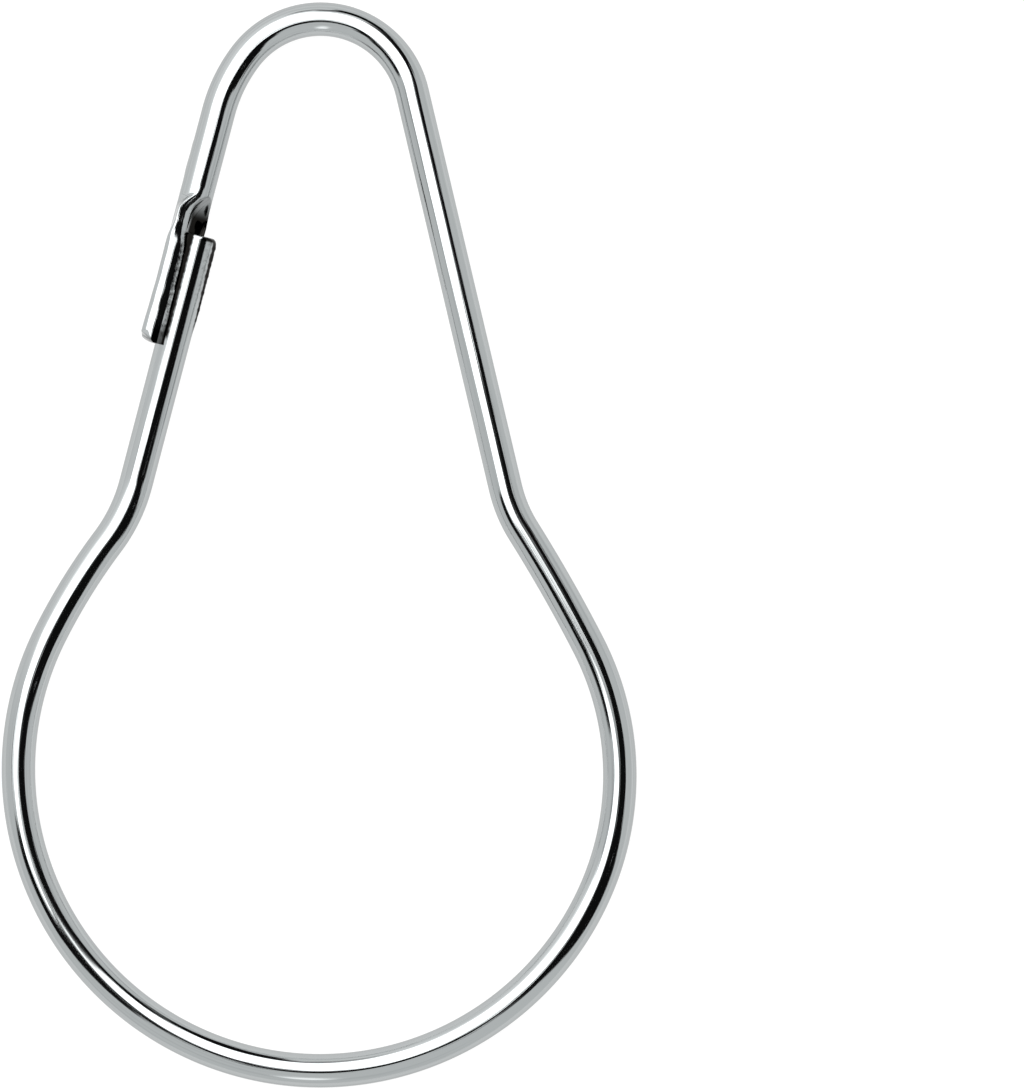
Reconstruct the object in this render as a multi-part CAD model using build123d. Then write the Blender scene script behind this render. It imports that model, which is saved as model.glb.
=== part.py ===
from build123d import *
import math
import os

# A pear-shaped shower curtain ring, bent from one length of round plated wire, lying flat.
# X runs across the ring, Y along it from the wide loop to the narrow crown, Z up from the table.
# The origin is the centre of the wide loop, in the middle of the wire's thickness.
# Lengths are in millimetres and angles in degrees. A lean is an angle from the Y axis.

# Wire
WIRE_DIAMETER = 2.2

# Wide loop that goes over the curtain rod: its right side is bent a little tighter.
LOOP_RADIUS = 19.7
LOOP_RIGHT_RADIUS = 18.7
LOOP_RIGHT_LEAN = 23.2
LOOP_TOP_LEFT_LEAN = 26.7
LOOP_TOP_RIGHT_LEAN = 27.2

# Flanks: nearly straight runs that close in from the loop to the necks
LEFT_FLANK_RADIUS = 40.0
LEFT_FLANK_LEAN = 36.9
RIGHT_FLANK_RADIUS = 100.0
RIGHT_FLANK_LEAN = 32.1

# Necks, where the flanks turn up into the arms on the left and the leg on the right
LEFT_NECK_RADIUS = 10.9
RIGHT_NECK_RADIUS = 9.3

# Narrow crown that carries the curtain's eyelet, with a wider shoulder on the clasp's side
CROWN_RISE = 42.9
CROWN_SHIFT = 0.05
CROWN_RADIUS = 6.15
CROWN_SHOULDER_RADIUS = 10.4
CROWN_SHOULDER_LEAN = 37.0

# Clasp: the lower arm rises a little and springs into a trough coined in the upper arm's tail.
# The metal that the trough displaces stands along its outer side as a rounded lip.
TAIL_LENGTH = 15.45
TAIL_CUT_LEAN = 14.0
LAP_LENGTH = 7.3
RISE_RADIUS = 11.0
TIP_EDGE_RADIUS = 0.3
TROUGH_WEB = 1.2
TROUGH_CLEARANCE = 0.06
TROUGH_FACE_LIFT = 39.5
TROUGH_TIP_ROOM = 0.3
TROUGH_RUN_OUT_RADIUS = 1.8
TROUGH_RIM_RADIUS = 0.15
LIP_RADIUS = 0.7
LIP_RISE = 1.16
LIP_SET_OUT = 0.4
LIP_LENGTH = 7.4
LIP_DIVE_RADIUS = 3.6
LIP_CREASE_RADIUS = 0.3

WIRE_RADIUS = WIRE_DIAMETER / 2
TROUGH_RADIUS = WIRE_RADIUS + TROUGH_CLEARANCE

# The lower arm's axis lies this far from the tail's: part of it inwards, part of it upwards.
SEAT_DISTANCE = TROUGH_WEB + TROUGH_CLEARANCE
SEAT_OFFSET = SEAT_DISTANCE * math.cos(math.radians(TROUGH_FACE_LIFT))
TIP_LIFT = SEAT_DISTANCE * math.sin(math.radians(TROUGH_FACE_LIFT))

RIGHT_ANGLE = 90.0
HALF_TURN = 180.0
UP = Vector(0, 0, 1)


def heading(angle):
    """Unit vector in the ring's plane, at an angle from +X."""
    return Vector(1, 0).rotate(Axis.Z, angle)


def bend_chain(start, angle, bends):
    """Tangent arcs from a start point and heading; a bend is a radius and its end heading."""
    arcs = []
    for radius, end_angle in bends:
        arc = JernArc(start, heading(angle), radius, end_angle - angle)
        arcs.append(arc)
        start = arc @ 1
        angle = end_angle
    return arcs


def crossing_tangent(neck_centre, neck_radius, bend_centre, bend_radius, side):
    """Heading of the straight run from a neck to a bend: side is 1 on the left, -1 on the right."""
    span = bend_centre - neck_centre
    swing = math.asin((neck_radius + bend_radius) / span.length)
    return math.degrees(math.atan2(span.Y, span.X) + side * swing)


def rise_angle(run, lift):
    """Slope of a straight that leaves the level in a bend and ends a run further and a lift higher."""
    reach = math.hypot(run, RISE_RADIUS - lift)
    slope = math.atan2(lift - RISE_RADIUS, run) - math.acos(RISE_RADIUS / reach)
    return RIGHT_ANGLE + math.degrees(slope)


def round_bar(runs, radius):
    """A round section carried along a chain of straight runs and arcs."""
    path = Wire(runs)
    return sweep(Plane(path @ 0, z_dir=path % 0) * Circle(radius), path=path)


# Loop and flanks, bent both ways from the loop's lowest point
loop_bottom = Vector(0, -LOOP_RADIUS)
left_flank_angle = RIGHT_ANGLE - LEFT_FLANK_LEAN
right_flank_angle = RIGHT_ANGLE + RIGHT_FLANK_LEAN
left_bends = bend_chain(loop_bottom, HALF_TURN, [
    (LOOP_RADIUS, RIGHT_ANGLE - LOOP_TOP_LEFT_LEAN),
    (LEFT_FLANK_RADIUS, left_flank_angle),
])
right_bends = bend_chain(loop_bottom, 0, [
    (LOOP_RADIUS, RIGHT_ANGLE - LOOP_RIGHT_LEAN),
    (LOOP_RIGHT_RADIUS, RIGHT_ANGLE + LOOP_TOP_RIGHT_LEAN),
    (RIGHT_FLANK_RADIUS, right_flank_angle),
])
left_neck_start = left_bends[-1] @ 1
right_neck_start = right_bends[-1] @ 1
left_neck_centre = left_neck_start + heading(left_flank_angle + RIGHT_ANGLE) * LEFT_NECK_RADIUS
right_neck_centre = right_neck_start + heading(right_flank_angle - RIGHT_ANGLE) * RIGHT_NECK_RADIUS

# The leg runs straight from the right neck to the crown. The two arms on the left are parallel:
# the tail leaves the crown's shoulder, and the lower arm lies the seat's offset inside the tail.
crown_centre = Vector(CROWN_SHIFT, CROWN_RISE)
shoulder_set_back = CROWN_SHOULDER_RADIUS - CROWN_RADIUS
shoulder_centre = crown_centre + heading(-CROWN_SHOULDER_LEAN) * shoulder_set_back
inside_tail = CROWN_SHOULDER_RADIUS - SEAT_OFFSET
arm_angle = crossing_tangent(left_neck_centre, LEFT_NECK_RADIUS, shoulder_centre, inside_tail, 1)
leg_angle = crossing_tangent(right_neck_centre, RIGHT_NECK_RADIUS, crown_centre, CROWN_RADIUS, -1)
left_bends += bend_chain(left_neck_start, left_flank_angle, [(LEFT_NECK_RADIUS, arm_angle)])
right_bends += bend_chain(right_neck_start, right_flank_angle, [(RIGHT_NECK_RADIUS, leg_angle)])
crown_start = crown_centre + heading(leg_angle - RIGHT_ANGLE) * CROWN_RADIUS
crown_bends = bend_chain(crown_start, leg_angle, [
    (CROWN_RADIUS, HALF_TURN + RIGHT_ANGLE - CROWN_SHOULDER_LEAN),
    (CROWN_SHOULDER_RADIUS, HALF_TURN + arm_angle),
])
leg = Line(right_bends[-1] @ 1, crown_start)

# The lower arm leaves the ring's plane in a slight bend, so that its tip lies over the tail.
along = heading(arm_angle)
inward = heading(arm_angle - RIGHT_ANGLE)
seat = inward * SEAT_OFFSET + UP * TIP_LIFT
tail_start = crown_bends[-1] @ 1
tail_end = tail_start - along * TAIL_LENGTH
tip = tail_end + along * LAP_LENGTH + seat
rise_start = left_bends[-1] @ 1
rise_turn = rise_angle((tip - rise_start).dot(along), TIP_LIFT)
rise_plane = Plane(rise_start, x_dir=along, z_dir=along.cross(UP))
rise_bend = rise_plane * JernArc((0, 0), (1, 0), RISE_RADIUS, rise_turn)
tip_direction = rise_bend % 1
lower_arm = Line(tip, rise_bend @ 1)

# Lower arm, loop and leg in one length, with the sharp edge taken off the tip
body = round_bar([lower_arm, rise_bend, *reversed(left_bends), *right_bends, leg], WIRE_RADIUS)
tip_edge = body.edges().filter_by(GeomType.CIRCLE).sort_by_distance(tip)[0]
body = fillet(tip_edge, TIP_EDGE_RADIUS)

# Crown and tail in one length, with room to cut the tail off
stock_end = tail_end - along * WIRE_DIAMETER
crown = round_bar([*crown_bends, Line(tail_start, stock_end)], WIRE_RADIUS)

# The lip runs along the tail and dives into it below the shoulder, where its end is inside the wire.
lip_offset = UP * LIP_RISE - inward * LIP_SET_OUT
lip_stop = tail_end + along * LIP_LENGTH + lip_offset
dive_drop = lip_offset.length - (WIRE_RADIUS - LIP_RADIUS)
dive_turn = math.degrees(math.acos(1 - dive_drop / LIP_DIVE_RADIUS))
dive_plane = Plane(lip_stop, x_dir=along, z_dir=lip_offset.cross(along))
dive = dive_plane * JernArc((0, 0), (1, 0), LIP_DIVE_RADIUS, dive_turn)
lip = round_bar([Line(stock_end + lip_offset, lip_stop), dive], LIP_RADIUS)
lipped = crown + lip
lipped = fillet(new_edges(crown, lip, combined=lipped), LIP_CREASE_RADIUS)

# The tail is cut off obliquely, so that its end face looks a little upwards.
cut_lean = math.radians(TAIL_CUT_LEAN)
cut_normal = along * math.cos(cut_lean) - UP * math.sin(cut_lean)
tail = split(lipped, Plane(tail_end, z_dir=cut_normal), keep=Keep.TOP)

# Trough in the tail: it follows the lower arm past its tip, and there runs out in an arc.
trough_start = tip - tip_direction * (LAP_LENGTH + WIRE_DIAMETER)
trough_stop = tip + tip_direction * TROUGH_TIP_ROOM
run_out_plane = Plane(trough_stop, x_dir=tip_direction, z_dir=tip_direction.cross(seat))
run_out = run_out_plane * JernArc((0, 0), (1, 0), TROUGH_RUN_OUT_RADIUS, RIGHT_ANGLE)
trough = round_bar([Line(trough_start, trough_stop), run_out], TROUGH_RADIUS)
coined = tail - trough

# The rim of the trough is pressed round, all but its edge in the tail's end face.
trough_edges = new_edges(tail, trough, combined=coined)
rim = trough_edges.sort_by(Axis(tail_end, cut_normal))[1:]
coined = fillet(rim, TROUGH_RIM_RADIUS)

ring = body + coined

os.makedirs("parts", exist_ok=True)
export_step(ring, "parts/curtain_ring.step")
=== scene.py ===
"""Studio looks of a pear-shaped shower curtain ring, bent from one length of plated wire.

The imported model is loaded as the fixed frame. The wire is one closed surface: a round section carried
along the ring's centre line, and pressed into a groove with a raised lip where the tail holds the
lower arm. The ring lies on a pale floor in a light tent and is seen from straight above.

Lengths are in millimetres and angles in degrees until a mesh is written, which is in metres.
X runs across the ring, Y from the wide loop to the narrow crown, Z up from the table.
"""

import logging
import math
from dataclasses import dataclass
from enum import Enum

import bpy
import numpy as np
from numpy.typing import NDArray
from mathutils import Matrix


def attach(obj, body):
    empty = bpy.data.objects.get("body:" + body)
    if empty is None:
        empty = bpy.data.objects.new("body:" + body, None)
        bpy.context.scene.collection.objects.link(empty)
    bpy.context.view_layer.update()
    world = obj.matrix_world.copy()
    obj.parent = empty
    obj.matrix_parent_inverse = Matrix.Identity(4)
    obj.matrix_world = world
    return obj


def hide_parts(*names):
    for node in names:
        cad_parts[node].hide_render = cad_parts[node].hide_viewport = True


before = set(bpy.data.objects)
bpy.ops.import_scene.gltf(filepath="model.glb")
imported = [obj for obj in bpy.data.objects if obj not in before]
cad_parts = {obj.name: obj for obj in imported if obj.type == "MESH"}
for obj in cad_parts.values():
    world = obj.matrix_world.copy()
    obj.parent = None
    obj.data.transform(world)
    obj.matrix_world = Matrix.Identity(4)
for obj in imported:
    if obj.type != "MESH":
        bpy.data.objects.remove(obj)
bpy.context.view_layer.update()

Array = NDArray[np.float64]
Bases = tuple[Array, Array, Array, Array]
Colour = tuple[float, float, float]
Place = tuple[float, float]
Span = tuple[float, float]
Pitches = tuple[float, ...]
Socket = bpy.types.NodeSocket
Inputs = dict[str | int, object]

MM = 0.001
UP = np.array([0.0, 0.0, 1.0])
RIGHT_ANGLE = 90.0
HALF_TURN = 180.0
WAVE_SHIFT = 1.7
FIN_PITCHES = (1.1, 0.6, 0.37)
ELLIPSE_CORNERS = 12

log = logging.getLogger("curtain_ring")


def unit(angle: float) -> Array:
    """Unit vector in the ring's plane, at an angle from +X."""
    return np.array([math.cos(math.radians(angle)), math.sin(math.radians(angle)), 0.0])


def ramp(span: Span, value: Array) -> Array:
    """Rises from 0 to 1 over a span of values, level at both ends: 3 t squared less 2 t cubed."""
    part = np.clip((value - span[0]) / (span[1] - span[0]), 0.0, 1.0)
    return part * part * (3.0 - 2.0 * part)


def faded(span: Span, value: Array) -> Array:
    """Falls from 1 to 0 over a span of values, as a ramp turned over."""
    return 1.0 - ramp(span, value)


def joined(first: Array, second: Array, blend: float | Array) -> Array:
    """The lesser of two signed distances, so both bodies in one, with the crease filled over a width."""
    share = np.clip(0.5 + 0.5 * (second - first) / blend, 0.0, 1.0)
    return second + (first - second) * share - blend * share * (1.0 - share)


def cut(body: Array, tool: Array, blend: float | Array) -> Array:
    """Signed distance to a body less a tool, with the rim rounded over a width."""
    return -joined(-body, tool, blend)


def waves(distance: Array, pitches: Pitches) -> Array:
    """Uneven waviness between -1 and 1: the mean of sine waves of several pitches along a distance."""
    heights = [np.sin(math.tau * distance / pitch + WAVE_SHIFT * n) for n, pitch in enumerate(pitches)]
    return sum(heights) / len(pitches)


def write_mesh(name: str, points: Array, faces: Array) -> bpy.types.Object:
    """Puts whole arrays of points and four-sided faces into a new object at the origin.

    Args:
        name: Name of the object and its mesh.
        points: Corner points in millimetres, one row each.
        faces: Corner numbers of each face, one row of four each.

    Returns:
        The object, linked to the scene and shaded smooth.
    """
    mesh = bpy.data.meshes.new(name)
    mesh.vertices.add(len(points))
    mesh.vertices.foreach_set("co", (points * MM).astype(np.float32).ravel())
    mesh.loops.add(faces.size)
    mesh.loops.foreach_set("vertex_index", faces.astype(np.int32).ravel())
    mesh.polygons.add(len(faces))
    mesh.polygons.foreach_set("loop_start", np.arange(0, faces.size, faces.shape[1], dtype=np.int32))
    mesh.polygons.foreach_set("use_smooth", np.ones(len(faces), dtype=bool))
    mesh.update(calc_edges=True)
    mesh.validate()
    piece = bpy.data.objects.new(name, mesh)
    bpy.context.scene.collection.objects.link(piece)
    return piece


def ring_faces(rings: int, columns: int) -> Array:
    """Four-sided faces between rings of points, each ring closed.

    Args:
        rings: Number of rings.
        columns: Points on each ring.

    Returns:
        Corner numbers, one row for each face.
    """
    first = (np.arange(rings - 1) * columns)[:, None]
    here = np.arange(columns)
    there = (here + 1) % columns
    corners = [first + here, first + there, first + columns + there, first + columns + here]
    return np.stack(corners, axis=-1).reshape(-1, len(corners))


def disc_faces(columns: int) -> Array:
    """Four-sided faces that close one ring of an even number of points, chord by chord, with its turn."""
    step = np.arange(columns // 2 - 1)
    return np.stack([step, step + 1, columns - 2 - step, columns - 1 - step], axis=-1)


def write_attribute(piece: bpy.types.Object, name: str, values: Array) -> None:
    """Stores one number at each corner point of a piece, for its finish to read."""
    layer = piece.data.attributes.new(name, "FLOAT", "POINT")
    layer.data.foreach_set("value", values.astype(np.float32).ravel())


@dataclass(frozen=True)
class Run:
    """A stretch of a centre line: a straight, or an arc that turns towards one side.

    Attributes:
        start: First point.
        heading: Unit vector along the run at its start.
        towards: Unit vector from the start to the arc's centre.
        curvature: One over the arc's radius, 0 for a straight.
        length: Length along the run.
    """

    start: Array
    heading: Array
    towards: Array
    curvature: float
    length: float

    def at(self, distance: Array) -> tuple[Array, Array]:
        """Points and headings along the run.

        An arc of radius R has gone R sin(d / R) ahead and R (1 - cos(d / R)) aside after a distance d.
        Both are written with sin(x) / x, which holds for a straight as well.

        Args:
            distance: Distances from the start.

        Returns:
            Points and unit headings, one row for each distance.
        """
        turn = (self.curvature * distance)[:, None]
        gone = distance[:, None]
        ahead = gone * np.sinc(turn / math.pi)
        aside = gone * np.sin(turn / 2) * np.sinc(turn / math.tau)
        points = self.start + ahead * self.heading + aside * self.towards
        return points, np.cos(turn) * self.heading + np.sin(turn) * self.towards


class CentreLine:
    """A chain of straights and arcs, each of which goes on where the one before it ended."""

    def __init__(self, start: Array, heading: Array) -> None:
        """Starts the chain.

        Args:
            start: First point.
            heading: Unit vector along the chain at that point.
        """
        self.runs: list[Run] = []
        self.end = start
        self.heading = heading

    @property
    def length(self) -> float:
        """Length of the whole chain."""
        return sum(run.length for run in self.runs)

    def add(self, towards: Array, curvature: float, length: float) -> None:
        """Adds a run and moves the chain's end and heading to the end of it.

        Args:
            towards: Unit vector from the chain's end to the run's centre.
            curvature: One over the run's radius, 0 for a straight.
            length: Length of the run.
        """
        run = Run(self.end, self.heading, towards, curvature, length)
        self.runs.append(run)
        points, headings = run.at(np.array([length]))
        self.end = points[0]
        self.heading = headings[0]

    def straight(self, length: float) -> None:
        """Adds a straight run."""
        self.add(UP, 0.0, length)

    def bend(self, radius: float, turn: float, axis: Array = UP) -> None:
        """Adds an arc of a radius that turns by an angle about an axis, to the left if above zero."""
        side = math.copysign(1.0, turn)
        self.add(side * np.cross(axis, self.heading), 1.0 / radius, radius * math.radians(abs(turn)))

    def at(self, distance: Array) -> tuple[Array, Array]:
        """Points and headings at distances from the chain's start.

        Args:
            distance: Rising distances along the chain.

        Returns:
            Points and unit headings, one row for each distance.
        """
        ends = np.cumsum([run.length for run in self.runs])
        member = np.minimum(np.searchsorted(ends, distance), len(self.runs) - 1)
        parts = [
            run.at(distance[member == place] - (ends[place] - run.length))
            for place, run in enumerate(self.runs)
        ]
        return np.concatenate([part[0] for part in parts]), np.concatenate([part[1] for part in parts])


@dataclass(frozen=True)
class RoundTool:
    """A straight round cutting tool that goes on in an arc at one end.

    Attributes:
        stop: Point on the tool's axis where the arc starts.
        heading: Unit vector along the straight, towards the arc.
        aside: Unit vector square to the heading, to the arc's centre.
        bend: Radius of the arc.
    """

    stop: Array
    heading: Array
    aside: Array
    bend: float

    def from_axis(self, points: Array) -> Array:
        """Distance of each point from the tool's bent axis.

        Beside the straight it is the distance from a line. Past the stop it is the distance from a
        circle: how far the point is from the circle's radius in its plane, and how far from the plane.

        Args:
            points: Points in space, in the last axis of the array.

        Returns:
            The distances.
        """
        span = points - self.stop
        ahead = span @ self.heading
        aside = span @ self.aside
        across = span @ np.cross(self.heading, self.aside)
        arc = np.hypot(np.hypot(ahead, aside - self.bend) - self.bend, across)
        return np.where(ahead > 0.0, arc, np.hypot(aside, across))


class NodeSheet:
    """A new material's node tree, to which nodes are added together with what goes into them."""

    def __init__(self, name: str) -> None:
        """Starts a material with a plain shader.

        Args:
            name: Name of the material.
        """
        self.material = bpy.data.materials.new(name)
        self.material.use_nodes = True
        self.tree = self.material.node_tree
        self.shader = self.tree.nodes["Principled BSDF"]

    def feed(self, node: bpy.types.Node, inputs: Inputs) -> None:
        """Links what is a socket to a node's inputs, and sets what is a constant on them directly.

        Args:
            node: The node.
            inputs: What goes into it, by the input's name or number.
        """
        for key, value in inputs.items():
            if isinstance(value, Socket):
                self.tree.links.new(value, node.inputs[key])
            else:
                node.inputs[key].default_value = value

    def add(self, kind: str, output: str, inputs: Inputs, **settings: str) -> Socket:
        """Adds a node.

        Args:
            kind: The node's type, without the prefix that all have.
            output: Name of the output that is wanted.
            inputs: What goes into the node, by the input's name or number.
            settings: Settings of the node itself.

        Returns:
            The output's socket.
        """
        node = self.tree.nodes.new("ShaderNode" + kind)
        for name, value in settings.items():
            setattr(node, name, value)
        self.feed(node, inputs)
        return node.outputs[output]

    def mixed(self, share: Socket, first: object, second: Colour) -> Socket:
        """Mixes a colour with its alpha, or a socket with one, with a second colour by a share."""
        inputs = {"Factor": share, "A": first, "B": (*second, 1.0)}
        return self.add("Mix", "Result", inputs, data_type="RGBA")


@dataclass(frozen=True)
class PlatedWire:
    """Bright plating over drawn wire: fine lines along it, rough where it is pressed, black where shade is
    painted.

    Attributes:
        bright: Reflectance of the plating, red, green and blue.
        streak: Reflectance in the drawing lines.
        rough: Reflectance of the pressed metal's darker grains.
        painted_shade: Reflectance of the shade painted black in the clasp's crevices and dark reflections.
        edge: Share of the light that the plating keeps at a glancing view.
        gloss: Roughness of the plating.
        gloss_spread: Share by which it varies.
        dull: Roughness of the pressed metal.
        lines: Drawing lines round the wire.
        line_rate: Noise cells in a millimetre along a drawing line.
        line_band: Heights of the noise between which a drawing line fades in.
        line_detail: Octaves of the drawing lines' noise.
        line_depth: Depth of a drawing line, in metres.
        grain_size: Pressed grains in a metre.
        grain_band: Heights of the noise between which a darker grain fades in.
        grain_detail: Octaves of the grain's noise.
        grain_depth: Depth of the pressed metal's grain, in metres.
    """

    bright: Colour = (0.455, 0.475, 0.478)
    streak: Colour = (0.385, 0.405, 0.410)
    rough: Colour = (0.20, 0.205, 0.205)
    painted_shade: Colour = (0.012, 0.011, 0.010)
    edge: float = 0.75
    gloss: float = 0.06
    gloss_spread: float = 0.3
    dull: float = 0.2
    lines: float = 44.0
    line_rate: float = 0.05
    line_band: Span = (0.5, 0.75)
    line_detail: float = 3.0
    line_depth: float = 0.000012
    grain_size: float = 3600.0
    grain_band: Span = (0.4, 0.6)
    grain_detail: float = 4.0
    grain_depth: float = 0.00004

    def material(self) -> bpy.types.Material:
        """Builds the finish on the wire's own map: X along it in millimetres, Y and Z once round it.

        Returns:
            The material.
        """
        sheet = NodeSheet("plated_wire")
        pressed = sheet.add("Attribute", "Fac", {}, attribute_name="pressed")
        # Share of painted shade: the clasp's crevices and dark reflections are painted black.
        painted_shade = sheet.add("Attribute", "Fac", {}, attribute_name="painted_shade")
        round_lines = self.lines / math.tau
        stretch = {
            "Vector": sheet.add("Attribute", "Vector", {}, attribute_name="drawn"),
            "Scale": (self.line_rate, round_lines, round_lines),
        }
        drawn = sheet.add("TexNoise", "Fac", {
            "Vector": sheet.add("Mapping", "Vector", stretch),
            "Scale": 1.0,
            "Detail": self.line_detail,
        })
        grain = sheet.add("TexNoise", "Fac", {
            "Vector": sheet.add("TexCoord", "Object", {}),
            "Scale": self.grain_size,
            "Detail": self.grain_detail,
        })

        low, high = self.line_band
        lines = sheet.add("MapRange", "Result", {"Value": drawn, "From Min": low, "From Max": high})
        low, high = self.grain_band
        patch_range = {"Value": grain, "From Min": low, "From Max": high, "To Max": pressed}
        patches = sheet.add("MapRange", "Result", patch_range)
        colour = sheet.mixed(lines, (*self.bright, 1.0), self.streak)
        colour = sheet.mixed(patches, colour, self.rough)

        plain = sheet.add("MapRange", "Result", {
            "Value": drawn,
            "To Min": self.gloss * (1.0 - self.gloss_spread),
            "To Max": self.gloss * (1.0 + self.gloss_spread),
        })
        fine = {"Height": drawn, "Strength": 1.0, "Distance": self.line_depth}
        coarse = {
            "Height": grain,
            "Strength": pressed,
            "Distance": self.grain_depth,
            "Normal": sheet.add("Bump", "Normal", fine),
        }
        sheet.feed(sheet.shader, {
            "Metallic": 1.0,
            "Specular Tint": (self.edge, self.edge, self.edge, 1.0),
            # Painted shade: the base colour goes black where shade falls in the clasp.
            "Base Color": sheet.mixed(painted_shade, colour, self.painted_shade),
            "Roughness": sheet.add("Mix", "Result", {"Factor": pressed, "A": plain, "B": self.dull}),
            "Normal": sheet.add("Bump", "Normal", coarse),
        })
        return sheet.material


@dataclass(frozen=True)
class RaisedLip:
    """The metal that the groove has pushed out: a lip on the tail's outer side, above the wire's middle.

    Beside the groove its top is a broad arc, with a rounded corner to the outer wall. Past that the
    top turns into a flat facet that looks a little inwards, with a sharp ridge to the wall and a
    steeper shoulder on its inner side. There the ridge falls to the wire's top and moves inwards.
    A span is a stretch along the tail, from its end, over which one of these changes. Heights and places
    inwards are from the wire's axis, and a width is that of a rounded edge.
    """

    wire_radius: float
    height: float = 1.86
    sink: float = 0.03
    fall_span: Span = (7.4, 10.6)
    flare: float = 0.1
    flare_span: Span = (0.0, 3.7)
    steps: tuple[tuple[float, Span], ...] = ((0.25, (6.6, 8.0)), (0.9, (8.7, 10.3)))
    arc_radius: float = 1.53
    arc_out: float = 0.59
    arc_shift: float = 0.12
    arc_span: Span = (6.0, 7.4)
    facet_tilt: float = 14.5
    facet_lift: float = 0.07
    facet_span: Span = (6.2, 7.8)
    shoulder_tilt: float = 38.0
    shoulder_in: float = -0.27
    shoulder_shift: float = 0.65
    shoulder_span: Span = (8.4, 10.1)
    shoulder_blend: float = 0.03
    corner_width: float = 0.47
    ridge_width: float = 0.1
    corner_span: Span = (6.4, 8.4)

    def distance(self, inwards: Array, height: Array, from_end: Array) -> Array:
        """Signed distance to the lip, which stays within the wire on the wire's inner side.

        Args:
            inwards: Places inwards of the tail's axis.
            height: Places above the tail's axis.
            from_end: Places along the tail, from its end.

        Returns:
            The distances, below zero inside the lip.
        """
        fall = ramp(self.fall_span, from_end)
        top = self.height - (self.height - self.wire_radius + self.sink) * fall
        ridge = -self.wire_radius - self.flare * faded(self.flare_span, from_end)
        for move, span in self.steps:
            ridge = ridge + move * ramp(span, from_end)

        arc_out = self.arc_out + self.arc_shift * ramp(self.arc_span, from_end)
        arc_height = top - self.arc_radius
        arc = np.hypot(inwards + arc_out, height - arc_height) - self.arc_radius

        tilt = math.radians(self.facet_tilt)
        steep = math.radians(self.shoulder_tilt)
        ridge_height = top + self.facet_lift * (1.0 - fall)
        facet = (height - ridge_height) * math.cos(tilt) + (inwards - ridge) * math.sin(tilt)
        shoulder = self.shoulder_in + self.shoulder_shift * ramp(self.shoulder_span, from_end)
        shoulder_height = ridge_height - math.tan(tilt) * (shoulder - ridge)
        slope = (height - shoulder_height) * math.cos(steep) + (inwards - shoulder) * math.sin(steep)
        flat = cut(facet, -slope, self.shoulder_blend)
        upper = arc + (flat - arc) * ramp(self.facet_span, from_end)

        lean = (ridge + self.wire_radius) / top
        wall = (inwards + self.wire_radius - lean * height) / np.hypot(1.0, lean)
        sharpening = ramp(self.corner_span, from_end)
        corner = self.corner_width + (self.ridge_width - self.corner_width) * sharpening
        under = np.maximum(inwards, 0.0) - height
        return np.maximum(cut(upper, wall, corner), under)


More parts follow.
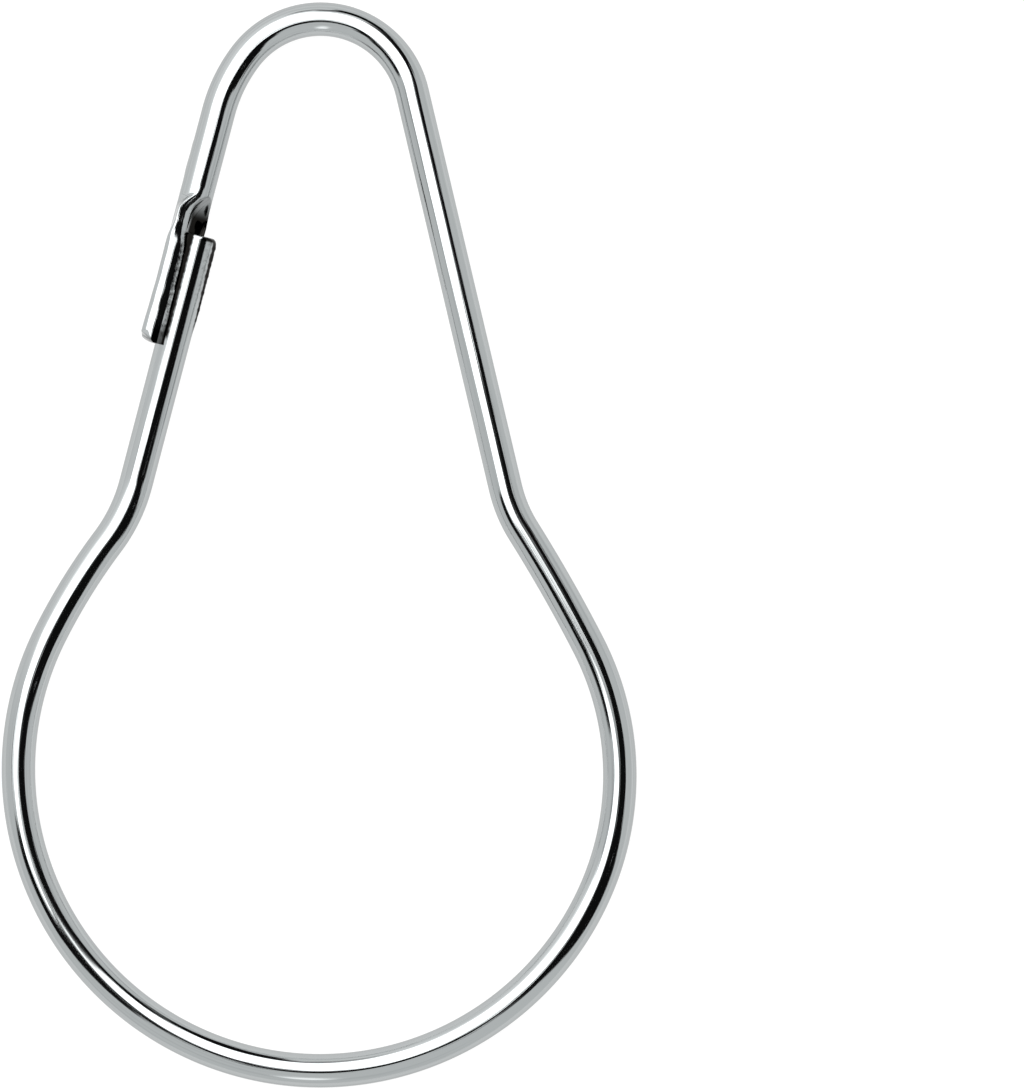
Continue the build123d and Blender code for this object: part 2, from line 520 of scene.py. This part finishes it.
@dataclass(frozen=True)
class PressMarksAndShade:
    """Rough metal that the press has left in the clasp, and shade painted black in its crevices and dark
    reflections, as shares from 0 to 1.

    Over each span a mark fades in or out. A reach is a span of gaps to the groove's tool, a side one of
    places inwards of the tail's axis, a turn one of angles round the lower arm from its inner side, and
    a length one of distances from the end of the tail or of the lower arm.
    """

    lapped_length: Span = (7.1, 7.4)
    ragged: float = 0.05
    ragged_pitches: Pitches = (1.3, 0.7, 0.43)
    rough_reach: Span = (0.22, 0.36)
    bed_reach: Span = (0.006, 0.022)
    bed_ragged: float = 0.2
    bed_flare: float = 0.14
    flare_length: Span = (0.6, 3.0)
    saddle_reach: Span = (0.06, 0.14)
    saddle_side: Span = (-0.05, 0.12)
    saddle_fade: float = 0.6
    fade_length: Span = (8.3, 9.4)
    shear_share: float = 0.8
    shear_ragged: float = 4.0
    shear_length: Span = (0.5, 1.2)
    shear_side: Span = (-0.5, -0.35)

    flank_length: Span = (6.8, 7.2)
    flank_turn: Span = (107.0, 112.0)
    flank_uneven: float = 2.0
    fin_length: Span = (5.3, 6.8)
    fin_turn: float = 19.0
    fin_taper: float = 13.0
    taper_length: Span = (0.4, 6.8)
    fin_uneven: float = 0.12
    fin_rim: Span = (0.85, 1.0)
    corner_length: Span = (0.2, 0.3)
    corner_turn: Span = (72.0, 84.0)
    scuff_share: float = 0.5
    scuff_length: Span = (3.0, 4.6)
    scuff_turn: Span = (45.0, 60.0)
    scuff_uneven: float = 8.0

    def on_tail(self, gap: Array, from_end: Array, inwards: Array) -> tuple[Array, Array]:
        """Marks on the tail.

        Rough metal reaches over the groove's rim. Shade is painted black in the groove, which it fills more
        widely near the tail's end, and in the saddle past the lower arm's tip, fading upwards from the tip;
        the sheared end's inner part is painted black too.

        Args:
            gap: Gaps to the groove's tool.
            from_end: Places along the tail, from its end.
            inwards: Places inwards of the tail's axis.

        Returns:
            Shares of rough metal and of painted shade.
        """
        lapped = faded(self.lapped_length, from_end)
        ragged = self.ragged * waves(from_end, self.ragged_pitches)
        rough = lapped * faded(self.rough_reach, gap + ragged)
        flare = self.bed_flare * faded(self.flare_length, from_end)
        # Painted shade in the groove's bed, and in the saddle past the tip, fading away from it.
        bed = lapped * faded(self.bed_reach, gap + self.bed_ragged * ragged - flare)
        fading = self.saddle_fade * ramp(self.fade_length, from_end)
        saddle = (1.0 - fading) * ramp(self.saddle_side, inwards) * faded(self.saddle_reach, gap)
        sheared = self.shear_share * faded(self.shear_length, from_end + self.shear_ragged * ragged)
        sheared = sheared * ramp(self.shear_side, inwards)
        return rough, np.maximum(bed + saddle * (1.0 - lapped), sheared)

    def on_arm(self, distance: Array, turned: Array) -> tuple[Array, Array]:
        """Marks on the lower arm.

        Shade is painted black on the flank that the groove holds, on the fin and round the tip's inner
        corner, and scuffs of rough metal lie on the inner side near the tip.

        Args:
            distance: Distances along the wire, from the tip.
            turned: Angles round the wire, either way from its inner side.

        Returns:
            Shares of rough metal and of painted shade.
        """
        uneven = waves(distance, FIN_PITCHES)
        # Painted shade: the flank in the groove, the fin and the tip's inner corner are painted black.
        flank = ramp(self.flank_turn, turned + self.flank_uneven * uneven)
        flank = flank * faded(self.flank_length, distance)
        width = self.fin_turn + self.fin_taper * faded(self.taper_length, distance)
        width = width * (1.0 + self.fin_uneven * uneven)
        fin = faded(self.fin_length, distance) * faded(self.fin_rim, turned / width)
        corner = faded(self.corner_length, distance) * faded(self.corner_turn, turned)
        scuffs = self.scuff_share * faded(self.scuff_length, distance)
        scuffs = scuffs * faded(self.scuff_turn, turned + self.scuff_uneven * uneven)
        return scuffs, flank + fin + corner


@dataclass
class CurtainRing:
    """The ring: one wire from the lower arm's tip round the loop, the leg and the crown to the tail.

    A lean is an angle from the Y axis. The groove holds the lower arm, and the lip stands beside it.
    A thin fin is squeezed out along the lower arm. A side is a span of places inwards of the tail's axis
    or, at the tip, of angles from the inner side. The last fields are for the mesh.
    """

    wire_diameter: float = 2.2

    loop_radius: float = 19.7
    loop_right_radius: float = 18.7
    loop_right_lean: float = 23.2
    loop_top_left_lean: float = 26.7
    loop_top_right_lean: float = 27.2

    left_flank_radius: float = 40.0
    left_flank_lean: float = 36.9
    right_flank_radius: float = 100.0
    right_flank_lean: float = 32.1
    left_neck_radius: float = 10.9
    right_neck_radius: float = 9.3

    crown_rise: float = 42.9
    crown_shift: float = 0.05
    crown_radius: float = 6.15
    crown_shoulder_radius: float = 10.4
    crown_shoulder_lean: float = 37.0

    tail_length: float = 15.45
    tail_cut_lean: float = 14.0
    lap_length: float = 7.3
    rise_radius: float = 11.0
    tip_edge_radius: float = 0.3
    tip_top_radius: float = 0.13
    tip_side: Span = (20.0, 70.0)

    groove_web: float = 1.2
    groove_clearance: float = 0.06
    groove_face_lift: float = 39.5
    groove_tip_room: float = 0.3
    groove_run_out: float = 1.8
    groove_rim: float = 0.07
    groove_dents: float = 0.4

    lip_crease: float = 0.06
    dent_depth: float = 0.012
    dent_pitches: Pitches = (5.3, 2.9, 1.7)
    tail_spread: float = 0.16
    end_overhang: float = 1.0
    overhang_side: Span = (-0.8, -0.2)
    cut_blend: float = 2.5

    fin_height: float = 0.08
    fin_start: Span = (0.1, 0.6)
    fin_end: Span = (4.8, 6.8)
    fin_angle: float = 6.0
    fin_width: float = 11.0
    fin_uneven: float = 0.25

    crest_level: float = 0.82
    crest_span: Span = (-0.15, 0.5)
    wire_level: float = 0.93
    chord_start: float = -0.5
    sharp_angle: float = 50.0
    halvings: int = 26
    crest_tries: int = 27
    round_steps: int = 56
    tip_steps: int = 9
    plain_step: float = 0.3
    fine_step: float = 0.075

    def __post_init__(self) -> None:
        """Works out the centre line and the clasp from the driving sizes."""
        self.radius = self.wire_diameter / 2
        self.groove_radius = self.radius + self.groove_clearance
        self.lip = RaisedLip(self.radius)
        self.marks = PressMarksAndShade()
        self.lift = math.radians(self.groove_face_lift)
        seat_distance = self.groove_web + self.groove_clearance
        self.seat_offset = seat_distance * math.cos(self.lift)
        self.tip_lift = seat_distance * math.sin(self.lift)
        self.lay_centre_line()
        self.lay_clasp()

    @staticmethod
    def arc_end(start: Array, angle: float, end_angle: float, radius: float) -> Array:
        """End point of an arc that leaves a start at one heading and ends at another."""
        side = math.copysign(radius, end_angle - angle)
        return start + side * (unit(angle + RIGHT_ANGLE) - unit(end_angle + RIGHT_ANGLE))

    @staticmethod
    def crossing(neck: Array, neck_radius: float, bend: Array, bend_radius: float, side: int) -> float:
        """Heading of the straight that crosses from a neck's arc to a bend's arc.

        Args:
            neck: Centre of the neck's arc.
            neck_radius: Radius of the neck's arc.
            bend: Centre of the bend's arc.
            bend_radius: Radius of the bend's arc.
            side: 1 on the left of the ring, -1 on the right.

        Returns:
            The heading in degrees.
        """
        span = bend - neck
        swing = math.asin((neck_radius + bend_radius) / np.linalg.norm(span))
        return math.degrees(math.atan2(span[1], span[0]) + side * swing)

    def lay_centre_line(self) -> None:
        """Lays the wire's centre line from the lower arm's tip to the tail's end."""
        bottom = np.array([0.0, -self.loop_radius, 0.0])
        left_top = RIGHT_ANGLE - self.loop_top_left_lean
        left_flank = RIGHT_ANGLE - self.left_flank_lean
        right_side = RIGHT_ANGLE - self.loop_right_lean
        right_top = RIGHT_ANGLE + self.loop_top_right_lean
        right_flank = RIGHT_ANGLE + self.right_flank_lean
        left = self.arc_end(bottom, HALF_TURN, left_top, self.loop_radius)
        left = self.arc_end(left, left_top, left_flank, self.left_flank_radius)
        right = self.arc_end(bottom, 0, right_side, self.loop_radius)
        right = self.arc_end(right, right_side, right_top, self.loop_right_radius)
        right = self.arc_end(right, right_top, right_flank, self.right_flank_radius)
        left_neck = left + unit(left_flank + RIGHT_ANGLE) * self.left_neck_radius
        right_neck = right + unit(right_flank - RIGHT_ANGLE) * self.right_neck_radius

        crown = np.array([self.crown_shift, self.crown_rise, 0.0])
        set_back = self.crown_shoulder_radius - self.crown_radius
        shoulder = crown + unit(-self.crown_shoulder_lean) * set_back
        inside_tail = self.crown_shoulder_radius - self.seat_offset
        arm = self.crossing(left_neck, self.left_neck_radius, shoulder, inside_tail, 1)
        leg = self.crossing(right_neck, self.right_neck_radius, crown, self.crown_radius, -1)
        crown_end = HALF_TURN + RIGHT_ANGLE - self.crown_shoulder_lean
        self.along = unit(arm)
        self.inward = unit(arm - RIGHT_ANGLE)
        tail_start = shoulder + unit(arm + RIGHT_ANGLE) * self.crown_shoulder_radius
        self.tail_end = tail_start - self.along * self.tail_length
        self.tip = self.tail_end + self.along * self.lap_length
        self.tip = self.tip + self.inward * self.seat_offset + UP * self.tip_lift

        rise_start = self.arc_end(left, left_flank, arm, self.left_neck_radius)
        leg_start = self.arc_end(right, right_flank, leg, self.right_neck_radius)
        leg_end = crown + unit(leg - RIGHT_ANGLE) * self.crown_radius
        run = (self.tip - rise_start) @ self.along
        drop = self.rise_radius - self.tip_lift
        slope = math.acos(self.rise_radius / math.hypot(run, drop)) - math.atan2(run, drop)
        ahead = run - self.rise_radius * math.sin(-slope)
        self.tip_heading = math.cos(slope) * self.along - math.sin(slope) * UP

        line = CentreLine(self.tip, -self.tip_heading)
        line.straight(ahead / math.cos(slope))
        line.bend(self.rise_radius, math.degrees(slope), np.cross(self.along, UP))
        line.bend(self.left_neck_radius, left_flank - arm)
        line.bend(self.left_flank_radius, left_top - left_flank)
        line.bend(self.loop_radius, HALF_TURN - left_top)
        line.bend(self.loop_radius, right_side)
        line.bend(self.loop_right_radius, right_top - right_side)
        line.bend(self.right_flank_radius, right_flank - right_top)
        line.bend(self.right_neck_radius, leg - right_flank)
        line.straight(float(np.linalg.norm(leg_end - leg_start)))
        line.bend(self.crown_radius, crown_end - leg)
        line.bend(self.crown_shoulder_radius, HALF_TURN + arm - crown_end)
        line.straight(self.tail_length)
        self.line = line

    def lay_clasp(self) -> None:
        """Places the groove's tool along the lower arm."""
        seat = math.cos(self.lift) * self.inward + math.sin(self.lift) * UP
        square = seat - (seat @ self.tip_heading) * self.tip_heading
        square = square / np.linalg.norm(square)
        groove_stop = self.tip + self.tip_heading * self.groove_tip_room
        self.groove = RoundTool(groove_stop, self.tip_heading, square, self.groove_run_out)

    def stations(self) -> Array:
        """Places the wire's sections, closer together in the clasp.

        Returns:
            Rising distances along the wire.
        """
        whole = self.line.length
        lap = self.lap_length + self.wire_diameter
        pressed = self.tail_length - self.wire_diameter
        corner = self.tip_edge_radius * (1.0 - np.cos(np.linspace(0.0, math.pi / 2, self.tip_steps)))
        arm = np.arange(self.tip_edge_radius + self.fine_step, lap, self.fine_step)
        middle = np.linspace(lap, whole - pressed, round((whole - pressed - lap) / self.plain_step))
        tail = np.linspace(whole - pressed, whole, round(pressed / self.fine_step))
        return np.concatenate([corner, arm, middle, tail[1:]])

    def metal(self, places: Array, along: Array, across: Array) -> Array:
        """Signed distance to the tail's metal: the wire and its lip in one, less the groove.

        The wire is squeezed out a little on the inner side, as far as the groove goes, and the pressed
        faces are slightly wavy.

        Args:
            places: Points in space.
            along: Their place along the seat, from the wire's axis.
            across: Their place across the seat, from the wire's axis.

        Returns:
            The distances, below zero inside the metal.
        """
        inwards = along * math.cos(self.lift) - across * math.sin(self.lift)
        height = along * math.sin(self.lift) + across * math.cos(self.lift)
        from_end = (places - self.tail_end) @ self.along
        dents = self.dent_depth * waves(from_end, self.dent_pitches)

        run_out = (self.lap_length + self.groove_tip_room, self.lap_length + self.groove_run_out)
        spread = self.tail_spread * faded(run_out, from_end) * np.clip(inwards / self.radius, 0.0, 1.0)
        spread = spread * ramp((-self.radius, 0.0), height)
        wire = np.hypot(along, across) - self.radius - spread
        lip = self.lip.distance(inwards, height, from_end) - dents
        groove = self.groove.from_axis(places) - self.groove_radius + self.groove_dents * dents
        return cut(joined(wire, lip, self.lip_crease), groove, self.groove_rim)

    def placed(self, bases: Bases, along: Array, across: Array) -> Array:
        """Puts places in the wire's sections into space, and leans them over to the tail's oblique cut.

        On the outer side the cut moves a place along the tail as far as it is high, and on the inner
        side the end hangs over.

        Args:
            bases: The sections' axis points, seats, tops and skews.
            along: Places along the seat.
            across: Places across the seat.

        Returns:
            Points in space.
        """
        axis, seat, top, skew = bases
        flat = along[..., None] * seat[:, None] + across[..., None] * top[:, None]
        inner_share = ramp(self.overhang_side, flat @ self.inward)
        slant = skew[:, None] * ((flat @ UP) * (1.0 - inner_share) - self.end_overhang * inner_share)
        return axis[:, None] + flat + slant[..., None] * self.along

    def pressed_tail(self, bases: Bases) -> tuple[Array, Array]:
        """Finds the tail's section at each station, chord by chord, by halving the step to its edge.

        A chord runs along the seat and crosses the metal once. Its two ends are looked for from a point
        inside the metal: under the groove in the wire, or below the lip's highest point beyond the wire.

        Args:
            bases: At each station the axis point, the unit vectors along and across the seat, and the
                slant along the wire for each millimetre of height.

        Returns:
            Places along and across the seat, once round at each station.
        """
        def edge(along: Array, across: Array, step_along: float, step_across: float) -> Array:
            """Finds the metal's edge on a step from a place inside it.

            Args:
                along: Places along the seat.
                across: Places across the seat.
                step_along: Length of the step along the seat.
                step_across: Length of the step across the seat.

            Returns:
                Share of the step at which the edge is met.
            """
            low = np.zeros(along.shape)
            high = np.ones(along.shape)
            for _ in range(self.halvings):
                middle = (low + high) / 2
                there = (along + middle * step_along, across + middle * step_across)
                within = self.metal(self.placed(bases, *there), *there) < 0.0
                low = np.where(within, middle, low)
                high = np.where(within, high, middle)
            return low

        reach = 2 * self.wire_diameter
        within = self.crest_level * self.radius
        tries = np.tile(np.linspace(*self.crest_span, self.crest_tries), (len(bases[0]), 1))
        tops = within + reach * edge(tries, np.full(tries.shape, within), 0.0, reach)
        highest = tops.argmax(axis=1)[:, None]
        crest = np.take_along_axis(tops, highest, axis=1)
        crest_along = np.take_along_axis(tries, highest, axis=1)

        turn = (np.arange(self.round_steps) + 0.5) * math.pi / self.round_steps
        across = (crest - self.radius) / 2 + (crest + self.radius) / 2 * np.cos(turn)
        half_chord = np.sqrt(np.maximum(self.radius ** 2 - across ** 2, 0.0))
        in_wire = across < self.wire_level * self.radius
        start = np.where(in_wire, self.chord_start * half_chord, crest_along)
        near = start + reach * edge(start, across, reach, 0.0)
        far = start - reach * edge(start, across, -reach, 0.0)
        return np.hstack([far, near[:, ::-1]]), np.hstack([across, across[:, ::-1]])

    def build(self, finish: PlatedWire) -> bpy.types.Object:
        """Builds the whole wire as one closed surface and dresses it.

        Args:
            finish: The wire's plating.

        Returns:
            The piece.
        """
        distance = self.stations()
        axis, heading = self.line.at(distance)
        inward = np.cross(UP, heading)
        inward = inward / np.linalg.norm(inward, axis=1, keepdims=True)
        upward = np.cross(heading, inward)
        seat = math.cos(self.lift) * inward + math.sin(self.lift) * upward
        top = math.cos(self.lift) * upward - math.sin(self.lift) * inward

        # The plain wire is a circle, drawn in at the tip's rounded edge, most on the inner side.
        turn = (np.arange(2 * self.round_steps) + 0.5) * math.pi / self.round_steps
        angle = np.degrees(np.arctan2(np.cos(turn + self.lift), -np.sin(turn + self.lift)))
        inner_share = faded(self.tip_side, np.abs(angle))
        edge = self.tip_top_radius + (self.tip_edge_radius - self.tip_top_radius) * inner_share
        short = np.maximum(edge - distance[:, None], 0.0)
        drawn_in = edge - np.sqrt(edge ** 2 - short ** 2)
        radius = self.radius - drawn_in + self.fin(distance, angle)
        along = -radius * np.sin(turn)
        across = radius * np.cos(turn)

        # The tail's sections are pressed, and lean over to the oblique cut at its end.
        whole = self.line.length
        tail = distance > whole - self.tail_length + self.wire_diameter
        lean = math.tan(math.radians(self.tail_cut_lean))
        skew = lean * ramp((whole - self.cut_blend, whole), distance)
        bases = (axis, seat, top, skew)
        along[tail], across[tail] = self.pressed_tail(tuple(basis[tail] for basis in bases))
        points = self.placed(bases, along, across)

        stations, columns = along.shape
        end = disc_faces(columns)
        faces = [ring_faces(stations, columns), end[:, ::-1], end + (stations - 1) * columns]
        piece = write_mesh("plated_ring", points.reshape(-1, 3), np.concatenate(faces))
        piece.data.set_sharp_from_angle(angle=math.radians(self.sharp_angle))
        drawn = np.empty((*along.shape, 3))
        drawn[..., 0] = distance[:, None]
        drawn[..., 1] = np.cos(turn)
        drawn[..., 2] = np.sin(turn)
        layer = piece.data.attributes.new("drawn", "FLOAT_VECTOR", "POINT")
        layer.data.foreach_set("vector", drawn.astype(np.float32).ravel())
        # Rough metal, and the painted shade that the finish turns black.
        pressed, painted_shade = self.wear_and_shade(points, distance, angle)
        write_attribute(piece, "pressed", pressed)
        write_attribute(piece, "painted_shade", painted_shade)
        piece.data.materials.append(finish.material())
        return piece

    def fin(self, distance: Array, angle: Array) -> Array:
        """A thin rough fin squeezed out along the lower arm's inner side, over the clasp.

        Its height is a bell curve round the section, and waves along it, and it dies out at both ends.

        Args:
            distance: Distances along the wire.
            angle: Angles round the section, from the inner side.

        Returns:
            Height of the fin at each distance and angle.
        """
        ends = ramp(self.fin_start, distance) * faded(self.fin_end, distance)
        height = self.fin_height * ends * (1.0 + self.fin_uneven * waves(distance, FIN_PITCHES))
        bell = np.exp(-((angle - self.fin_angle) / self.fin_width) ** 2)
        return height[:, None] * bell

    def wear_and_shade(self, points: Array, distance: Array, angle: Array) -> tuple[Array, Array]:
        """Where the clasp's metal is rough from the press, and where shade is painted black on it.

        Args:
            points: The surface's points.
            distance: Distances along the wire.
            angle: Angles round the section, from the inner side.

        Returns:
            Shares from 0 to 1 for each point, of rough metal and of painted shade.
        """
        gap = self.groove.from_axis(points) - self.groove_radius
        from_end = (points - self.tail_end) @ self.along
        inwards = (points - self.tail_end) @ self.inward
        in_tail = (distance > self.line.length - self.tail_length)[:, None]
        tail_rough, tail_painted_shade = self.marks.on_tail(gap, from_end, inwards)
        arm_rough, arm_painted_shade = self.marks.on_arm(distance[:, None], np.abs(angle))
        rough = np.maximum(np.where(in_tail, tail_rough, 0.0), arm_rough)
        return rough, np.clip(np.where(in_tail, tail_painted_shade, 0.0) + arm_painted_shade, 0.0, 1.0)


class Level(Enum):
    """How bright a card of the light tent is, as radiance in the picture's own units."""

    LAMP = 3.2
    HAZE = 2.0
    PALE = 1.25
    DIM = 0.42
    SHADE = 0.008


def closed_curve(corners: Array, steps: int) -> Array:
    """A smooth closed curve through corners: a cubic between each two, level with their neighbours.

    Between corners 1 and 2 the slope at 1 is half the way from corner 0 to corner 2, and so on round.

    Args:
        corners: Points that the curve goes through, one row each.
        steps: Points on the curve between two corners.

    Returns:
        Points on the curve, one row each.
    """
    before = np.roll(corners, 1, axis=0)[:, None]
    here = corners[:, None]
    after = np.roll(corners, -1, axis=0)[:, None]
    later = np.roll(corners, -2, axis=0)[:, None]
    part = np.linspace(0.0, 1.0, steps, endpoint=False)[None, :, None]
    slope = (after - before) / 2
    bow = before - 2.5 * here + 2.0 * after - 0.5 * later
    turn = 1.5 * (here - after) + (later - before) / 2
    return (here + part * (slope + part * (bow + part * turn))).reshape(-1, 2)


def ellipse(right: float, up: float, long: float, short: float, turn: float) -> Array:
    """Corners of an ellipse about a middle, with its length turned from the right.

    Args:
        right: Place of its middle to the right.
        up: Place of its middle upwards.
        long: Half its length.
        short: Half its width.
        turn: Turn of its length.

    Returns:
        Points on the ellipse, one row each.
    """
    round_it = np.linspace(0.0, math.tau, ELLIPSE_CORNERS, endpoint=False)[:, None]
    ahead = unit(turn)[:2]
    aside = unit(turn + RIGHT_ANGLE)[:2]
    return np.array([right, up]) + long * np.cos(round_it) * ahead + short * np.sin(round_it) * aside


@dataclass(frozen=True)
class Card:
    """A card on the inside of the tent, laid out in degrees from straight overhead.

    Attributes:
        name: Name of the object.
        level: Brightness.
        corners: Its outline goes through these, each so far to the right and so far towards the crown.
        edge: Share of the way from its rim to its middle over which it fades in.
        hub: Size of the hole in its middle, as a share of the outline.
        curve_steps: Points on the outline between two corners.
        plain_rings: Rings of points inside the edge, and edge_rings those over it.
    """

    name: str
    level: Level
    corners: Array | list[Place]
    edge: float
    hub: float = 0.02
    curve_steps: int = 8
    plain_rings: int = 8
    edge_rings: int = 7

    def build(self, centre: Array, radius: float) -> bpy.types.Object:
        """Builds the card as rings of points on the tent's dome, from its middle to its outline.

        A point's distance from overhead in degrees is its angle from the dome's top.

        Args:
            centre: Centre of the dome.
            radius: Radius of the dome.

        Returns:
            The card, not seen by the camera.
        """
        outline = closed_curve(np.asarray(self.corners, dtype=float), self.curve_steps)
        middle = outline.mean(axis=0)
        rim = (1.0 - self.edge, 1.0)
        plain = np.linspace(self.hub, 1.0 - self.edge, self.plain_rings)
        out = np.append(plain, np.linspace(*rim, self.edge_rings)[1:])
        spread = middle + out[:, None, None] * (outline - middle)
        fall = np.radians(np.hypot(spread[..., 0], spread[..., 1]))
        way = np.arctan2(spread[..., 1], spread[..., 0])
        ball = np.stack([np.sin(fall) * np.cos(way), np.sin(fall) * np.sin(way), np.cos(fall)], axis=-1)
        piece = write_mesh(self.name, (centre + radius * ball).reshape(-1, 3), ring_faces(*fall.shape))
        write_attribute(piece, "fade", faded(rim, np.broadcast_to(out[:, None], fall.shape)))
        piece.data.materials.append(self.material())
        piece.visible_camera = False
        return piece

    def material(self) -> bpy.types.Material:
        """Builds a glowing finish that fades out to nothing at the card's rim.

        Returns:
            The material.
        """
        sheet = NodeSheet(self.name)
        sheet.tree.nodes.remove(sheet.shader)
        fade = sheet.add("Attribute", "Fac", {}, attribute_name="fade")
        clear = sheet.add("BsdfTransparent", "BSDF", {})
        glow = sheet.add("Emission", "Emission", {"Strength": self.level.value})
        face = sheet.add("MixShader", "Shader", {0: fade, 1: clear, 2: glow})
        sheet.feed(sheet.tree.nodes["Material Output"], {"Surface": face})
        return sheet.material


@dataclass(frozen=True)
class PaleFloor:
    """A matt pale sheet that glows, so that it is nearly white, with faint clouds in its tone.

    Attributes:
        glow: Light that it gives off.
        tone: Reflectance.
        cloud_lift: Reflectance of the lightest clouds, as a multiple of the tone.
        cloud_scale: Clouds in a metre.
        matt: Roughness.
    """

    glow: float = 0.94
    tone: float = 0.12
    cloud_lift: float = 1.04
    cloud_scale: float = 30.0
    matt: float = 0.9

    def material(self) -> bpy.types.Material:
        """Builds the finish.

        Returns:
            The material.
        """
        sheet = NodeSheet("pale_floor")
        place = sheet.add("TexCoord", "Object", {})
        cloud = sheet.add("TexNoise", "Fac", {"Vector": place, "Scale": self.cloud_scale})
        light = self.tone * self.cloud_lift
        sheet.feed(sheet.shader, {
            "Base Color": sheet.mixed(cloud, (self.tone, self.tone, self.tone, 1.0), (light, light, light)),
            "Roughness": self.matt,
            "Specular IOR Level": 0.0,
            "Emission Color": (1.0, 1.0, 1.0, 1.0),
            "Emission Strength": self.glow,
        })
        return sheet.material


@dataclass
class Studio:
    """A light tent over a pale floor, with lamps and dark cards that the wire mirrors, and the camera.

    The camera looks straight down. Its frame is as high as the photograph shows of the table.
    """

    frame_height: float = 71.26
    frame_middle: Place = (12.57, 14.67)
    lens: float = 250.0
    sensor: float = 36.0
    tent_middle: Place = (10.2, 14.67)
    tent_radius: float = 400.0
    tent_glow: float = 0.92
    tent_colour: Colour = (0.985, 1.0, 1.0)
    layer_step: float = 2.0
    floor_radius: float = 3000.0
    floor_hub: float = 0.5
    floor_rings: int = 24
    floor_columns: int = 64

    def cards(self) -> list[Card]:
        """Lays out the tent's cards.

        Returns:
            The cards, from the one furthest back to the one in front.
        """
        rim = [(4, -4), (22, -4), (41, 1), (41, 20), (44, 36), (43, 52), (35, 67), (22, 78), (8, 76),
               (0, 66), (-6, 56), (0, 30)]
        dusk = [(-27, 66), (-18, 71), (-4, 70), (6, 66), (4, 58), (-8, 56), (-20, 58)]
        haze = [(3, -2), (14, 5), (25, 17), (27, 31), (25, 45), (15, 58), (-2, 59), (-20, 60), (-38, 54),
                (-56, 38), (-62, 22), (-52, 10), (-40, -5), (-26, -14), (-13, -11)]
        lamp = [(4, -1), (11, 8), (22, 18), (24, 31), (21, 43), (12, 51), (-4, 51), (-18, 52), (-32, 46),
                (-44, 32), (-50, 18), (-42, 7), (-37, -5), (-26, -12), (-13, -11), (-5, -3)]
        boom = [(2, -6), (-8, -6), (-11, -10), (-23, -14.5), (-37, -10), (-50, -11), (-56, -19),
                (-47, -29), (-34, -31), (-22, -28), (-9, -18), (2, -20)]
        camera = [(-7, -7), (6, -1), (16, 2), (26, 6), (38, 8), (45, 5), (44, -5), (45, -11), (51, -17),
                  (57, -26), (53, -36), (42, -37), (31, -33), (18, -27), (7, -20), (-3, -20)]
        return [
            Card("pale_wall", Level.PALE, ellipse(-25, 45, 75, 45, 15), 0.6),
            Card("shade_rim", Level.SHADE, rim, 0.08),
            Card("dim_dusk", Level.DIM, dusk, 0.6),
            Card("lamp_haze", Level.HAZE, haze, 0.35),
            Card("lamp_front", Level.LAMP, lamp, 0.06),
            Card("dim_horn", Level.DIM, ellipse(-44, 3, 13, 4, 75), 0.7),
            Card("shade_boom", Level.SHADE, boom, 0.15),
            Card("shade_camera", Level.SHADE, camera, 0.12),
            Card("lamp_spot", Level.HAZE, ellipse(-5.5, -60, 13, 7, 95), 0.7),
        ]

    def build(self, table: float) -> list[bpy.types.Object]:
        """Builds the floor and the cards.

        Args:
            table: Height of the table.

        Returns:
            The objects, none of them part of the ring.
        """
        centre = np.array([*self.tent_middle, 0.0])
        made = [
            card.build(centre, self.tent_radius - self.layer_step * place)
            for place, card in enumerate(self.cards())
        ]
        made.append(self.floor(table))
        return made

    def floor(self, table: float) -> bpy.types.Object:
        """A wide round pale floor: rings of points round the middle of the picture.

        Args:
            table: Height of the table.

        Returns:
            The floor.
        """
        out = np.geomspace(self.floor_hub, self.floor_radius, self.floor_rings)[:, None]
        round_it = np.linspace(0.0, math.tau, self.floor_columns, endpoint=False)
        x = self.frame_middle[0] + out * np.cos(round_it)
        y = self.frame_middle[1] + out * np.sin(round_it)
        points = np.stack([x, y, np.full(x.shape, table)], axis=-1)
        faces = [ring_faces(*x.shape)[:, ::-1], disc_faces(len(round_it))]
        piece = write_mesh("floor", points.reshape(-1, 3), np.concatenate(faces))
        piece.data.materials.append(PaleFloor().material())
        return piece

    def light(self) -> None:
        """Lights the tent evenly from all round, and shows its light as it is."""
        scene = bpy.context.scene
        scene.view_settings.view_transform = "Standard"
        tent = bpy.data.worlds.new("tent")
        tent.use_nodes = True
        glow = tent.node_tree.nodes["Background"]
        glow.inputs["Color"].default_value = (*self.tent_colour, 1.0)
        glow.inputs["Strength"].default_value = self.tent_glow
        scene.world = tent

    def camera(self) -> bpy.types.Object:
        """Hangs a long lens over the middle of the picture, looking straight down with the crown upwards.

        Returns:
            The camera.
        """
        made = bpy.data.cameras.new("camera")
        made.lens = self.lens
        made.sensor_width = self.sensor
        piece = bpy.data.objects.new("camera", made)
        height = self.lens * self.frame_height / self.sensor
        piece.location = (self.frame_middle[0] * MM, self.frame_middle[1] * MM, height * MM)
        bpy.context.scene.collection.objects.link(piece)
        bpy.context.scene.camera = piece
        return piece


def main() -> None:
    """Builds the ring, the studio and the camera, and logs the ring's face count and wire length."""
    logging.basicConfig(level=logging.INFO, format="%(message)s")
    ring = CurtainRing()
    piece = ring.build(PlatedWire())
    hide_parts("curtain_ring")
    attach(piece, "root")
    log.info("%s: %d faces, wire %.1f mm long", piece.name, len(piece.data.polygons), ring.line.length)

    studio = Studio()
    for part in studio.build(-ring.radius):
        log.info("%s: stage", part.name)
    studio.light()
    log.info("%s: over the ring", studio.camera().name)


if __name__ == "__main__":
    main()
